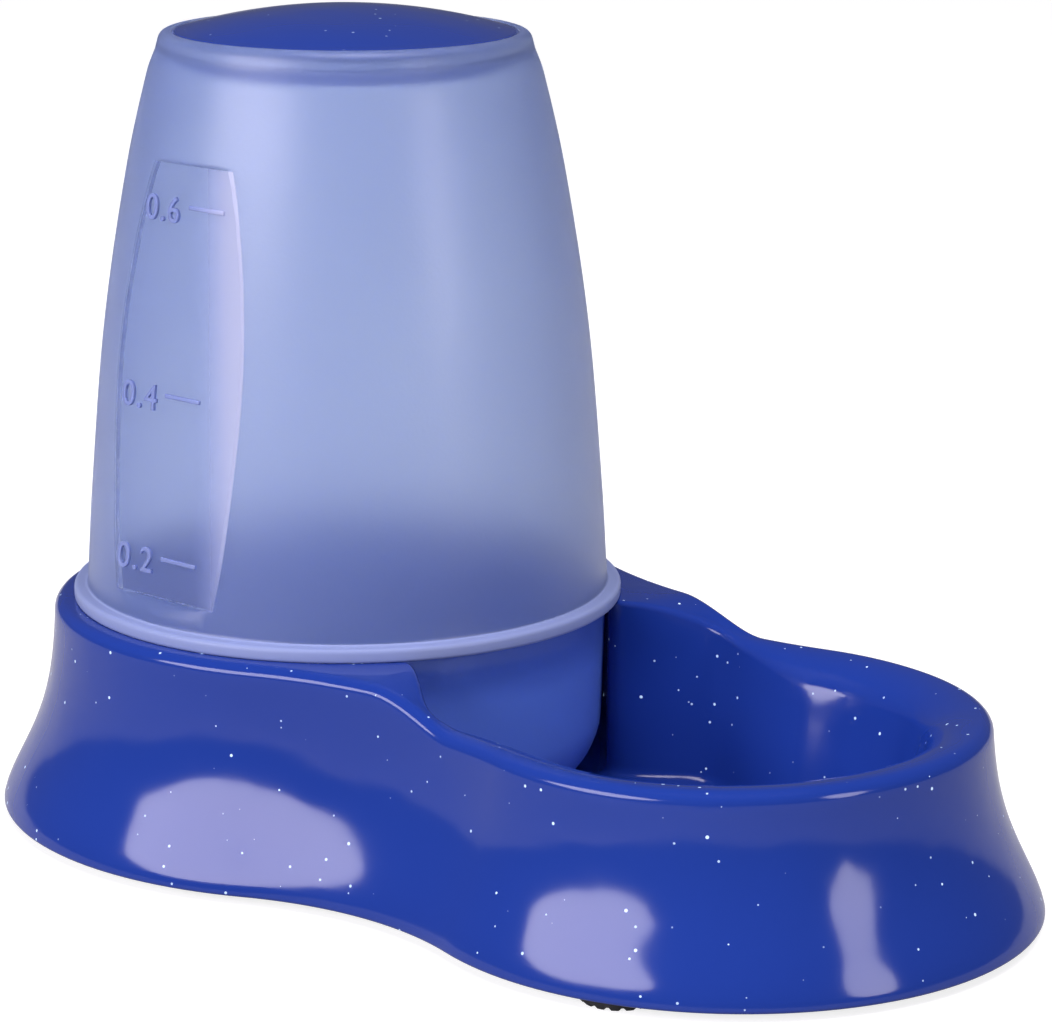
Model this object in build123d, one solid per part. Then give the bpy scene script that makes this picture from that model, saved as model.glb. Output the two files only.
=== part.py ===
# Pet food and water dispenser: a bottomless see-through tank standing in a two-lobed bowl base.
# The origin is on the table, at the middle of the base's length.
# +X runs from the tank towards the bowl, +Y runs across, +Z is up. Lengths are in millimetres.
from build123d import *
import math
import os

# Base, seen from above: two round lobes joined by a waist, at its rim and at its lower edge
tank_lobe_r = 56.0
rim_bowl_r = 47.6
rim_spacing = 93.0
rim_waist_r = 90.0
edge_spread = 10.9
edge_bowl_r = 57.4
edge_spacing = 94.3
edge_waist_r = 59.7

# Base, seen from the side: heights are above its lower edge, and x is the distance from the
# tank's axis. The rim is level round the tank, dips through the neck and rises a little to the end
edge_lift = 1.6
seat_height = 40.1
flare_rate = 3.94
flare_power = 1.5
flare_levels = (0.0, 4.0, 8.0, 12.0, 17.0, 23.0, 30.0, 38.0, 46.0)
rim_drop = 5.4
rim_drop_start = 45.5
rim_drop_length = 21.5
rim_low_x = 95.0
rim_end_lift = 0.8
shell_wall = 2.0
rim_round = 2.2
inner_rim_round = 0.9
under_rim = 4.0

# Socket, neck and bowl, which are one hollow: neck and bowl draw in towards the floor,
# and the bowl's rim rolls over into it
socket_r = 50.1
cheek_angle = 33.0
cheek_round = 3.0
neck_corner_x = 57.0
neck_round = 7.0
neck_half_width = 38.4
neck_draw = 4.2
bowl_r = 37.9
bowl_draw = 9.0
draw_top = 36.5
floor_height = 3.6
floor_round = 5.0
hollow_levels = (46.0, 34.0, 22.0, 11.0, 3.6)
roll_r = 45.4
roll_height = 34.8
roll_round = 9.0
roll_turn = 68.0

# Rubber feet, pressed into round seats under the base
foot_r = 7.0
foot_depth = 1.8
foot_edge = 0.5
foot_seat_r = 8.4
bowl_seat_height = 5.0
tank_seat_height = 3.1
bowl_foot_r = 49.2
bowl_foot_angle = 71.5
tank_foot_r = 43.0
tank_foot_angle = 128.0

# Tank, as (radius, height) up its side: heights are above the underside of its flange
tank_wall = 1.5
flange_r = 52.5
flange_thick = 2.6
flange_edge = 0.6
skirt_top_r = 49.6
skirt_r = 49.0
skirt_straight = 22.6
skirt_round = 15.5
skirt_depth = 32.1
tank_side = ((49.9, 2.6), (48.7, 21.4), (45.8, 52.9), (41.1, 82.3), (37.0, 100.1), (35.4, 104.4))
tank_top = 107.8
tank_rim_r = 33.4

# Mouth of the tank, the lid that plugs it and the seal round the plug
mouth_r = 30.8
ledge_thick = 2.0
lid_r = 32.0
lid_gap = 0.3
lid_edge_thick = 2.0
lid_edge_round = 0.5
lid_crown = 4.4
lid_skin = 1.8
plug_r = 30.1
plug_bore_r = 27.4
plug_depth = 5.0
groove_r = 29.0
seal_r = 30.5
seal_flat_r = 29.7
seal_drop = 0.4
seal_height = 1.8

# Flat gauge panel on the tank's right side, as (distance from the axis, height),
# and its level marks, as (height, start along X)
panel_low = (48.15, 7.2)
panel_high = (39.2, 86.4)
panel_half_width = 30.0
mark_places = ((14.6, -1.2), (44.4, -3.2), (78.9, -1.0))
mark_length = 9.2
mark_thick = 0.8
mark_relief = 0.35

# Values that follow from the ones above
tank_x = (tank_lobe_r - edge_bowl_r - edge_spacing + edge_spread) / 2
base_place = Pos(tank_x, 0, edge_lift)
tank_place = Pos(tank_x, 0, edge_lift + seat_height)
lid_seat = tank_top - lid_edge_thick
seal_top = lid_seat - seal_drop
seal_bottom = seal_top - seal_height
clear = 300.0


def upright(edges):
    """A face drawn by its edges as (radius or x, height), stood up in the XZ plane."""
    return Plane.XZ * make_face(edges)


def turned(edges):
    """A solid of revolution about the vertical axis from the edges of its half section."""
    return revolve(upright(edges), Axis.Z)


def across(points, half_width):
    """A prism along X whose section is drawn as (y, height)."""
    return extrude(Plane.YZ * make_face(Polyline(*points, close=True)), half_width, both=True)


# Base

def spread_at(height):
    """How far the wall of the tank's lobe stands out past its rim: it flares towards the lower edge."""
    return edge_spread * math.exp(-flare_rate * (height / seat_height) ** flare_power)


def round_outline(tank_r, bowl_lobe_r, spacing, waist_r):
    """Plan of four arcs that run into each other: a lobe round each axis and a waist on each side."""
    near_reach = tank_r + waist_r
    far_reach = bowl_lobe_r + waist_r
    waist_x = (near_reach**2 - far_reach**2 + spacing**2) / (2 * spacing)
    waist_y = math.sqrt(near_reach**2 - waist_x**2)
    tank_join = (tank_r * waist_x / near_reach, tank_r * waist_y / near_reach)
    bowl_join = (spacing + bowl_lobe_r * (waist_x - spacing) / far_reach, bowl_lobe_r * waist_y / far_reach)
    edges = [
        ThreePointArc(tank_join, (-tank_r, 0), (tank_join[0], -tank_join[1])),
        ThreePointArc(bowl_join, (spacing + bowl_lobe_r, 0), (bowl_join[0], -bowl_join[1])),
    ]
    for side in (1, -1):
        ends = [(x, side * y) for x, y in (tank_join, (waist_x, waist_y - waist_r), bowl_join)]
        edges.append(ThreePointArc(*ends))
    return make_face(edges)


def outer_plan(height, inset):
    """Plan of the base's wall at a height: the waist and the bowl's lobe flare less than the tank's."""
    spread = spread_at(height)
    part = spread / edge_spread
    return round_outline(
        tank_lobe_r + spread - inset,
        rim_bowl_r + (edge_bowl_r - rim_bowl_r) * part - inset,
        rim_spacing + (edge_spacing - rim_spacing) * part,
        rim_waist_r + (edge_waist_r - rim_waist_r) * part + inset,
    )


def flared_block(inset=0.0, below=0.0):
    """The base's outside, solid, up to well over the rim, with its wall moved in by inset."""
    block = loft([Pos(0, 0, height) * outer_plan(height, inset) for height in flare_levels])
    if below > 0:
        block += extrude(outer_plan(0, inset), -below)
    return block


def rim_height(x):
    """Height of the rim at a distance from the tank's axis."""
    part = min(1, max(0, (x - rim_drop_start) / rim_drop_length))
    past_low = max(0, x - rim_low_x) / (rim_spacing + rim_bowl_r - rim_low_x)
    return seat_height - rim_drop * part**2 * (3 - 2 * part) + rim_end_lift * past_low**2


def above_rim(lower=0.0):
    """Everything over the rim line, which is level round the tank and dips to the bowl."""
    seat = seat_height - lower
    on_the_drop = [rim_drop_start + rim_drop_length * share / 4 for share in (1, 2, 3, 4)]
    line = [(x, rim_height(x) - lower) for x in on_the_drop + [80, rim_low_x, 110, 125, 145]]
    dip = Spline((rim_drop_start - 1, seat), *line, tangents=[(1, 0), (1, 0.03)])
    sky = [line[-1], (line[-1][0], clear), (-clear, clear), (-clear, seat), (rim_drop_start - 1, seat)]
    return extrude(upright([dip, Polyline(*sky)]), clear, both=True)


def hollow_plan(height, grow):
    """Plan of the hollow at a height: socket, straight cheeks, neck and bowl, grown by the wall."""
    draw = (draw_top - height) / (draw_top - floor_height)
    inner_bowl_r = bowl_r - bowl_draw * draw
    neck_corner = (neck_corner_x, neck_half_width - neck_draw * draw)
    to_corner = math.hypot(neck_corner[0] - rim_spacing, neck_corner[1])
    corner_angle = math.atan2(neck_corner[1], neck_corner[0] - rim_spacing)
    touch_angle = corner_angle - math.acos(inner_bowl_r / to_corner)
    touch = (rim_spacing + inner_bowl_r * math.cos(touch_angle), inner_bowl_r * math.sin(touch_angle))
    cheek = (socket_r * math.cos(math.radians(cheek_angle)), socket_r * math.sin(math.radians(cheek_angle)))
    edges = [
        ThreePointArc(cheek, (-socket_r, 0), (cheek[0], -cheek[1])),
        ThreePointArc((touch[0], -touch[1]), (rim_spacing + inner_bowl_r, 0), touch),
    ]
    for side in (1, -1):
        edges.append(Polyline(*[(x, side * y) for x, y in (cheek, neck_corner, touch)]))
    plan = make_face(edges)
    for corner_x, radius in ((cheek[0], cheek_round), (neck_corner_x, neck_round)):
        corners = [v for v in plan.vertices() if abs(v.X - corner_x) < 0.1]
        plan = fillet(corners, radius)
    return offset(plan, amount=grow) if grow else plan


def tub(grow=0.0):
    """The hollow as a solid up to well over the rim, or its outside where grow is the wall."""
    body = loft([Pos(0, 0, height - grow) * hollow_plan(height, grow) for height in hollow_levels])
    floor = floor_height - grow
    rounded = [e for e in body.edges() if abs(e.center().Z - floor) < 0.01]
    return fillet(rounded, floor_round + grow)


def rolled_rim(grow=0.0):
    """What the bowl's rim leaves free where it rolls over into the dish, or that grown by the wall."""
    radius = roll_round - grow
    half, full = math.radians(roll_turn / 2), math.radians(roll_turn)
    crest = (roll_r, radius - roll_round)
    middle = (roll_r - radius * math.sin(half), radius * math.cos(half) - roll_round)
    low = (roll_r - radius * math.sin(full), radius * math.cos(full) - roll_round)
    over = roll_round
    return Pos(rim_spacing, 0, roll_height) * turned([
        ThreePointArc(crest, middle, low),
        Polyline(low, (0, low[1]), (0, over), (roll_r + over / 2, over), crest),
    ])


def foot_places():
    """Each foot's name, its place under the base and the height of its seat."""
    places = []
    for side, hand in ((1, "left"), (-1, "right")):
        by_bowl = Pos(edge_spacing, 0, 0) * Rot(0, 0, side * bowl_foot_angle) * Pos(bowl_foot_r, 0, 0)
        by_tank = Rot(0, 0, side * tank_foot_angle) * Pos(tank_foot_r, 0, 0)
        places.append((f"bowl_{hand}_foot", by_bowl, bowl_seat_height))
        places.append((f"tank_{hand}_foot", by_tank, tank_seat_height))
    return places


def rim_edges(solid):
    """The curved edges up at the rim that go round the solid or round a hollow in it."""
    return [e for e in solid.edges() if (e @ 0.5).Z > 30 and e.geom_type != GeomType.LINE]


def base():
    """One moulded shell: flared wall, rounded rim, bowl with its socket, open underneath."""
    block = flared_block() - above_rim()
    rounded = fillet(rim_edges(block), rim_round)
    outer_rim = [e @ 0.5 for e in rim_edges(rounded)]
    bowl = rounded - tub()
    inner_rim = [e for e in rim_edges(bowl) if all((e @ 0.5 - point).length > 0.1 for point in outer_rim)]
    bowl = fillet(inner_rim, inner_rim_round) - rolled_rim()
    underneath = flared_block(shell_wall, 1.0) - above_rim(under_rim)
    shell = bowl - (underneath - tub(shell_wall) - rolled_rim(shell_wall))
    for _, place, height in foot_places():
        seat = place * extrude(Circle(foot_seat_r), height)
        shell += seat & block
        shell -= place * extrude(Circle(foot_r), foot_depth)
    return shell


# Tank

def skirt_edge(inset):
    """The skirt's side from the flange down: a slight taper, then a wide round turn to the open bottom."""
    radius = skirt_round - inset
    centre_x = skirt_r - skirt_round
    drop = skirt_depth - skirt_straight
    corner = (skirt_r - inset, -skirt_straight)
    turn = math.asin(drop / radius)
    bend = (centre_x + radius * math.cos(turn / 2), -skirt_straight - radius * math.sin(turn / 2))
    lip = (centre_x + radius * math.cos(turn), -skirt_depth)
    return [Line((skirt_top_r - inset, 0), corner), ThreePointArc(corner, bend, lip)], lip


def tank():
    """Thin tapering shell with a flange, a skirt below it and a flat gauge panel on one side."""
    low = -skirt_depth
    edge = flange_edge
    rim = (tank_rim_r, tank_top)
    skirt, lip = skirt_edge(0)
    outside = turned(skirt + [
        Polyline((skirt_top_r, 0), (flange_r - edge, 0), (flange_r, edge), (flange_r, flange_thick - edge),
                 (flange_r - edge, flange_thick), tank_side[0]),
        Spline(*tank_side),
        Spline(tank_side[-1], rim, tangents=[(-0.35, 1), (-1, 0)]),
        Polyline(rim, (0, tank_top), (0, low), lip),
    ])
    wall = tank_wall
    inner_side = [(radius - wall, height) for radius, height in tank_side]
    mouth = lid_r + lid_gap
    skirt, lip = skirt_edge(wall)
    inside = turned(skirt + [
        Line((skirt_top_r - wall, 0), inner_side[0]),
        Spline(*inner_side),
        Polyline(inner_side[-1], (mouth, inner_side[-1][1]), (mouth, tank_top + 1), (0, tank_top + 1)),
        Polyline((0, tank_top + 1), (0, low - 1), (lip[0], low - 1), lip),
    ])
    shell = (outside - panel_cut(0)) - (inside - panel_cut(wall))
    return shell + ledge() + level_marks()


def ledge():
    """Ring inside the tank's mouth: the lid's edge rests on it and the seal touches its bore."""
    outer = lid_r + lid_gap + tank_wall
    bottom = lid_seat - ledge_thick
    corners = [(mouth_r, bottom), (outer, bottom), (outer, lid_seat), (mouth_r, lid_seat)]
    return turned([Polyline(*corners, close=True)])


def panel_lean():
    """How far the gauge panel comes towards the axis for each millimetre up."""
    return (panel_low[0] - panel_high[0]) / (panel_high[1] - panel_low[1])


def panel_cut(inset):
    """What the flat panel takes off the tank's side, or off its inside where inset is the wall."""
    lean = panel_lean()
    shift = inset * math.sqrt(1 + lean**2)
    low = (-(panel_low[0] + lean * inset - shift), panel_low[1] - inset)
    high = (-(panel_high[0] - lean * inset - shift), panel_high[1] + inset)
    return across([low, high, (-clear, high[1]), (-clear, low[1])], panel_half_width)


def level_marks():
    """Raised dashes on the gauge panel."""
    lean = panel_lean()
    tilt = -math.degrees(math.atan(lean))
    found = []
    for height, start in mark_places:
        distance = panel_low[0] - lean * (height - panel_low[1])
        place = Pos(start + mark_length / 2, -distance, height) * Rot(tilt, 0, 0)
        found.append(place * Box(mark_length, 2 * mark_relief, mark_thick))
    return found


# Lid and its seal

def lid():
    """Shallow dome with a plug below it, hollow inside, grooved for its seal."""
    crown = tank_top + lid_crown
    dome_r = (lid_r**2 + lid_crown**2) / (2 * lid_crown)
    ceiling = crown - lid_skin
    ceiling_edge = ceiling - plug_bore_r**2 / (2 * dome_r)
    shoulder = (lid_r - lid_edge_round, tank_top)
    return turned([
        TangentArc((0, crown), shoulder, tangent=(1, 0)),
        Polyline(shoulder, (lid_r, tank_top - lid_edge_round), (lid_r, lid_seat), (plug_r, lid_seat),
                 (plug_r, seal_top), (groove_r, seal_top), (groove_r, seal_bottom), (plug_r, seal_bottom),
                 (plug_r, lid_seat - plug_depth), (plug_bore_r, lid_seat - plug_depth),
                 (plug_bore_r, ceiling_edge)),
        TangentArc((0, ceiling), (plug_bore_r, ceiling_edge), tangent=(1, 0)),
        Line((0, ceiling), (0, crown)),
    ])


def lid_seal():
    """Soft ring in the plug's groove, bulging towards the mouth."""
    middle = (seal_top + seal_bottom) / 2
    return turned([
        Polyline((seal_flat_r, seal_bottom), (groove_r, seal_bottom)),
        Polyline((groove_r, seal_bottom), (groove_r, seal_top), (seal_flat_r, seal_top)),
        ThreePointArc((seal_flat_r, seal_top), (seal_r, middle), (seal_flat_r, seal_bottom)),
    ])


# Feet

def foot():
    """Round rubber pad that stands on the table and reaches up into its seat."""
    pad = extrude(Circle(foot_r), edge_lift + foot_depth)
    return Pos(0, 0, -edge_lift) * chamfer(pad.edges().group_by(Axis.Z)[0], foot_edge)


def placed_pieces():
    """Each node's name and its solid where it belongs."""
    yield "base", base_place * base()
    yield "tank", tank_place * tank()
    yield "lid", tank_place * lid()
    yield "lid_seal", tank_place * lid_seal()
    for name, place, _ in foot_places():
        yield name, base_place * place * foot()


os.makedirs("parts", exist_ok=True)
for name, piece in placed_pieces():
    piece.label = name
    export_step(piece, f"parts/{name}.step")
    print(name, len(piece.solids()), "solid", round(piece.volume / 1000, 2), "cm3")
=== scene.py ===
# %% [markdown]
# # Pet food and water dispenser
# A see-through tank with a lid stands in one lobe of a glossy blue base and keeps the bowl in the
# other lobe filled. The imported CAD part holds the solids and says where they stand. This file makes
# the looks: a smooth mesh in the same sizes for each moulded piece, a procedural material for each
# plastic and rubber, light and a camera. It is meant to be read from top to bottom, one cell at a time.

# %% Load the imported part
import math
from itertools import pairwise

import bmesh
import bpy
from mathutils import Matrix, Vector
from mathutils.geometry import interpolate_bezier


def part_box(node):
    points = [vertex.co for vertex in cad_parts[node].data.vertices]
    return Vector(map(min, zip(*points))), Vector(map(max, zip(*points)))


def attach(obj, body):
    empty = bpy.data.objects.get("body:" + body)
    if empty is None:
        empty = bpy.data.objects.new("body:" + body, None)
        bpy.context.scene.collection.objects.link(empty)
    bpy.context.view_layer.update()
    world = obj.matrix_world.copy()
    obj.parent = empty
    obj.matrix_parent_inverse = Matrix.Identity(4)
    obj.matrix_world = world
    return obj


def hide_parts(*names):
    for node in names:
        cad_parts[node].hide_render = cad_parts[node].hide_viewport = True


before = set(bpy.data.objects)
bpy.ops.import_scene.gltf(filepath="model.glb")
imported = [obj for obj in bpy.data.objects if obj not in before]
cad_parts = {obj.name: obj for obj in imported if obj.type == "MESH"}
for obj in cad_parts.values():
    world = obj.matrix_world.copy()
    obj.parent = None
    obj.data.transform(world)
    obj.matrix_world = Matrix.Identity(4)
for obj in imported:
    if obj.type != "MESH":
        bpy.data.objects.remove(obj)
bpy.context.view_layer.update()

print("nodes:", sorted(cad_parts))

# %% [markdown]
# ## Where things are
# The part is a few hundred millimetres long and Blender works in metres. Each moulded piece is drawn
# in millimetres about the tank's upright axis, because base, tank and lid are all centred on it, and
# its mesh is scaled and moved once when it is finished. The CAD boxes say where that axis stands,
# how high the base's lower edge is and where the tank's flange rests.

# %% Heights and the tank's axis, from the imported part
MM = 0.001
tank_low, tank_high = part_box("tank")
base_low, base_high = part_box("base")
axis_x = (tank_low.x + tank_high.x) / 2
lower_edge = base_low.z
flange_rest = base_high.z
print(f"axis at x = {axis_x:.4f} m, lower edge {lower_edge:.4f} m, flange rests at {flange_rest:.4f} m")


# %% [markdown]
# ## Camera
# The photograph looks down a little on the feeder's side and bowl. Its viewpoint was found by fitting
# the circles of the base, flange and lid, so the camera is given by a few real values: how far it stands
# from the tank's axis, how high, in which direction, where it points, and how long its lens is.

# %% A camera at the photograph's viewpoint
SENSOR_MM = 36
CAMERA_DISTANCE = 0.71287
CAMERA_HEIGHT = 0.2326
CAMERA_SIDE = math.radians(44.882)
CAMERA_YAW = math.radians(2.747)
CAMERA_PITCH = math.radians(13.843)
CAMERA_ROLL = math.radians(0.35)
LENS_MM = 130.72


def make_camera():
    """The photograph's camera, aimed past the tank towards the bowl."""
    camera = bpy.data.objects.new("camera", bpy.data.cameras.new("camera"))
    bpy.context.scene.collection.objects.link(camera)
    camera.data.sensor_width = SENSOR_MM
    camera.data.lens = LENS_MM
    turn = Matrix.Rotation(CAMERA_SIDE, 4, "Z")
    stand = turn @ Matrix.Translation((0, -CAMERA_DISTANCE, CAMERA_HEIGHT))
    aim = Matrix.Rotation(-CAMERA_YAW, 4, "Z") @ Matrix.Rotation(math.pi / 2 - CAMERA_PITCH, 4, "X")
    level = Matrix.Rotation(CAMERA_ROLL, 4, "Z")
    camera.matrix_world = Matrix.Translation((axis_x, 0, 0)) @ stand @ aim @ level
    return camera


bpy.context.scene.camera = make_camera()
print("camera stands at", [round(v, 4) for v in bpy.context.scene.camera.matrix_world.translation])


# %% [markdown]
# ## Shader maths
# The plastics' patterns are small sums on node sockets. Written as nodes, each sum takes several lines
# for each operation, so one small class wraps a socket and lets Python's own operators add the Math
# nodes. One function makes any other node in one call, and a second small class, Finish, holds a material
# and its node tree, which keeps each plastic's code short.

# %% A socket that can be added, multiplied and compared
class Wire:
    """A node's output socket, on which Python's operators add Math nodes."""

    def __init__(self, tree, socket):
        self.tree = tree
        self.socket = socket

    def math(self, operation, *others):
        """A Math node that takes this wire and the others in order."""
        node = self.tree.nodes.new("ShaderNodeMath")
        node.operation = operation
        for slot, value in zip(node.inputs, (self, *others)):
            connect(self.tree, slot, value)
        return Wire(self.tree, node.outputs[0])

    def __add__(self, other):
        return self.math("ADD", other)

    def __mul__(self, other):
        return self.math("MULTIPLY", other)

    def __sub__(self, other):
        return self.math("SUBTRACT", other)

    def __rsub__(self, other):
        return (self * -1) + other

    def __lt__(self, other):
        return self.math("LESS_THAN", other)

    def __gt__(self, other):
        return self.math("GREATER_THAN", other)

    __radd__ = __add__
    __rmul__ = __mul__

    def also(self, output):
        """Another output of the same node."""
        return Wire(self.tree, self.socket.node.outputs[output])


def connect(tree, slot, value):
    """Links a wire to a socket, or writes a plain value into it."""
    if isinstance(value, Wire):
        tree.links.new(value.socket, slot)
    else:
        slot.default_value = value


def new_node(tree, kind, output=0, settings=None, **sockets):
    """Makes a node: its settings, then its sockets by name or as slot and a number. Gives one output."""
    node = tree.nodes.new("ShaderNode" + kind)
    for key, value in (settings or {}).items():
        setattr(node, key, value)
    for key, value in sockets.items():
        name = int(key[4:]) if key.startswith("slot") else key.replace("_", " ")
        connect(tree, node.inputs[name], value)
    return Wire(tree, node.outputs[output])


print("a Wire understands + - * < > and the method math")


# %% A material that is written as its shader's values
class Finish:
    """A material: a few wires and the values of its Principled shader."""

    def __init__(self, name):
        self.material = bpy.data.materials.new(name)
        self.material.use_nodes = True
        self.tree = self.material.node_tree
        self.shader = self.tree.nodes["Principled BSDF"]

    def node(self, kind, output=0, settings=None, **sockets):
        return new_node(self.tree, kind, output, settings, **sockets)

    def place(self):
        """Object coordinates: the pattern is in metres and stays with the piece."""
        return self.node("TexCoord", "Object")

    def noise(self, place, size, detail=2.0):
        """Soft noise from 0 to 1, whose blotches are about size metres wide."""
        return self.node("TexNoise", "Fac", Vector=place, Scale=1 / size, Detail=detail)

    def blend(self, part, low, high):
        """The colour low where part is 0, and high where it is 1."""
        return self.node("Mix", 2, {"data_type": "RGBA"}, slot0=part, slot6=low, slot7=high)

    def set(self, **sockets):
        """Values or wires for the shader's own sockets."""
        for key, value in sockets.items():
            connect(self.tree, self.shader.inputs[key.replace("_", " ")], value)

    def bump(self, height, distance):
        """Relief in the shader's normal: height from 0 to 1 is a distance in metres."""
        self.set(Normal=self.node("Bump", Height=height, Strength=1.0, Distance=distance))


print("a Finish starts with a Principled shader and writes values or wires into it")


# %% [markdown]
# ## Base: one glossy moulding
# The real base is injection moulded: a flared outer wall, a rounded rim and, inside it, one hollow that
# holds the tank's skirt, the neck and the bowl. Gloss shows every flat spot, so the mesh has to be even
# quads. The way chosen here is a ring of points round the plan, extruded again and again: up the wall,
# over the rim, down into the hollow. Each ring is placed by a formula, so the rings run smoothly.
#
# Seen from above the outline is four arcs that run into each other: a lobe round the tank, a lobe round
# the bowl and a waist on each side. Each point of a ring keeps its arc and its share of that arc at
# every height, which keeps the quads straight.

# %% The base's outline, in millimetres from the tank's axis
# RIM_ values hold at the rim, EDGE_ values at the lower edge, where the wall has flared out by EDGE_SPREAD.
# The flare fades with height as exp(-rate * share ** power).
TANK_LOBE_R = 56.0
RIM_BOWL_R, EDGE_BOWL_R = 47.6, 57.4
RIM_SPACING, EDGE_SPACING = 93.0, 94.3
RIM_WAIST_R, EDGE_WAIST_R = 90.0, 59.7
EDGE_SPREAD = 10.9
FLARE_RATE, FLARE_POWER = 3.94, 1.5
SEAT_HEIGHT = (flange_rest - lower_edge) / MM
ARC_STEPS = {"tank": 96, "near waist": 56, "bowl": 84, "far waist": 56}
STATIONS = [(arc, step / steps) for arc, steps in ARC_STEPS.items() for step in range(steps)]


def outline_point(station, height, inset=0.0):
    """One point of the outer wall's plan at a height, moved inwards by inset."""
    arc, share = station
    spread = EDGE_SPREAD * math.exp(-FLARE_RATE * (height / SEAT_HEIGHT) ** FLARE_POWER)
    part = spread / EDGE_SPREAD
    tank_r = TANK_LOBE_R + spread - inset
    bowl_r = RIM_BOWL_R + (EDGE_BOWL_R - RIM_BOWL_R) * part - inset
    spacing = RIM_SPACING + (EDGE_SPACING - RIM_SPACING) * part
    waist_r = RIM_WAIST_R + (EDGE_WAIST_R - RIM_WAIST_R) * part + inset
    waist_x = ((tank_r + waist_r) ** 2 - (bowl_r + waist_r) ** 2 + spacing**2) / (2 * spacing)
    waist_y = math.sqrt((tank_r + waist_r) ** 2 - waist_x**2)
    tank_angle = math.atan2(waist_y, waist_x)
    bowl_angle = math.atan2(waist_y, waist_x - spacing)
    centre, radius, start, end = {
        "tank": ((0, 0), tank_r, tank_angle, math.tau - tank_angle),
        "near waist": ((waist_x, -waist_y), waist_r, math.pi - tank_angle, math.pi - bowl_angle),
        "bowl": ((spacing, 0), bowl_r, -bowl_angle, bowl_angle),
        "far waist": ((waist_x, waist_y), waist_r, bowl_angle - math.pi, tank_angle - math.pi),
    }[arc]
    angle = start + (end - start) * share
    return Vector((centre[0] + radius * math.cos(angle), centre[1] + radius * math.sin(angle)))


print(len(STATIONS), "points in each ring of the base")

# %% [markdown]
# The rim is level round the tank, drops about 5 mm through the neck and rises a little towards the far
# end of the bowl. The line along its inside follows the socket's circle, cuts straight across each cheek
# to the neck, and then keeps an even distance from the outer rim. Its two corners at each cheek are
# rounded by letting each point drift towards its neighbours a few times, as sanding would.

# %% The rim's height and width
RIM_DROP, RIM_DROP_START, RIM_DROP_LENGTH = 5.4, 45.5, 21.5
RIM_LOW_X, RIM_END_LIFT = 95.0, 0.8
NECK_RIM_WIDTH, RIM_ROUND = 3.1, 2.2
RIM_NARROWS = (60, 82)


def ease(low, high, value):
    """0 below low, 1 above high, and a smooth step between them."""
    part = min(1.0, max(0.0, (value - low) / (high - low)))
    return part * part * (3 - 2 * part)


def rim_height(x):
    """The rim's height over the lower edge at a distance from the tank's axis."""
    past_low = max(0.0, x - RIM_LOW_X) / (RIM_SPACING + RIM_BOWL_R - RIM_LOW_X)
    drop = RIM_DROP * ease(RIM_DROP_START, RIM_DROP_START + RIM_DROP_LENGTH, x)
    return SEAT_HEIGHT - drop + RIM_END_LIFT * past_low**2


def offset_inside(station):
    """The rim's inner line where it runs beside the outer one: wider at the neck than at the bowl."""
    narrowed = ease(*RIM_NARROWS, outline_point(station, SEAT_HEIGHT).x)
    return outline_point(station, SEAT_HEIGHT, NECK_RIM_WIDTH + (RIM_ROUND - NECK_RIM_WIDTH) * narrowed)


print(f"the rim drops from {rim_height(0):.1f} to {rim_height(RIM_LOW_X):.1f} mm")

# %% The line along the inside of the rim
SOCKET_R, SOCKET_ROUND = 50.1, 0.9
CHEEK_ANGLE = math.radians(33)
NECK_CORNER_X = 57.2
SOCKET_SHARE, CHEEK_SHARE = 0.40, 0.64
CORNER_PASSES, DIRECTION_PASSES, SHARE_TRIALS = 9, 60, 400

# How far along the waist's arc the neck's corner lies: the best of some evenly spaced shares.
neck_share = min(
    (trial / SHARE_TRIALS for trial in range(SHARE_TRIALS + 1)),
    key=lambda share: abs(offset_inside(("near waist", share)).x - NECK_CORNER_X))
near_neck = offset_inside(("near waist", neck_share))


def rim_inside(station):
    """One point of the line along the inside of the rim, seen from above."""
    arc, share = station
    if arc == "bowl":
        return offset_inside(station)
    brim_r = SOCKET_R + SOCKET_ROUND
    if arc == "tank":
        direction = outline_point(station, SEAT_HEIGHT).normalized()
        return brim_r * direction
    near = arc == "near waist"
    side = -1 if near else 1
    along = share if near else 1 - share
    lobe_end = outline_point(("tank", 0), SEAT_HEIGHT)
    lobe_angle = math.atan2(lobe_end.y, lobe_end.x)
    if along < SOCKET_SHARE:
        angle = lobe_angle + (CHEEK_ANGLE - lobe_angle) * along / SOCKET_SHARE
        return Vector((brim_r * math.cos(angle), side * brim_r * math.sin(angle)))
    if along < CHEEK_SHARE:
        cheek_start = Vector((brim_r * math.cos(CHEEK_ANGLE), side * brim_r * math.sin(CHEEK_ANGLE)))
        cheek_end = Vector((near_neck.x, -side * near_neck.y))
        return cheek_start.lerp(cheek_end, (along - SOCKET_SHARE) / (CHEEK_SHARE - SOCKET_SHARE))
    past = (along - CHEEK_SHARE) / (1 - CHEEK_SHARE)
    share_on_outline = neck_share + (1 - neck_share) * past
    return offset_inside((arc, share_on_outline if near else 1 - share_on_outline))


def drifted(points, times):
    """Points of a closed line after each has moved towards its two neighbours some times."""
    for _ in range(times):
        before = [points[-1]] + points[:-1]
        after = points[1:] + points[:1]
        points = [(a + 2 * b + c) / 4 for a, b, c in zip(before, points, after)]
    return points


brim = drifted([rim_inside(station) for station in STATIONS], CORNER_PASSES)
brim_height = [rim_height(point.x) for point in brim]
ahead = brim[1:] + brim[:1]
behind = [brim[-1]] + brim[:-1]
tangents = [(b - a).normalized() for a, b in zip(behind, ahead)]
inwards = [v.normalized() for v in drifted([Vector((-t.y, t.x)) for t in tangents], DIRECTION_PASSES)]
print(f"the rim's inner line has {len(brim)} points, its neck corner {near_neck.x:.1f} mm from the axis")

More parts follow.
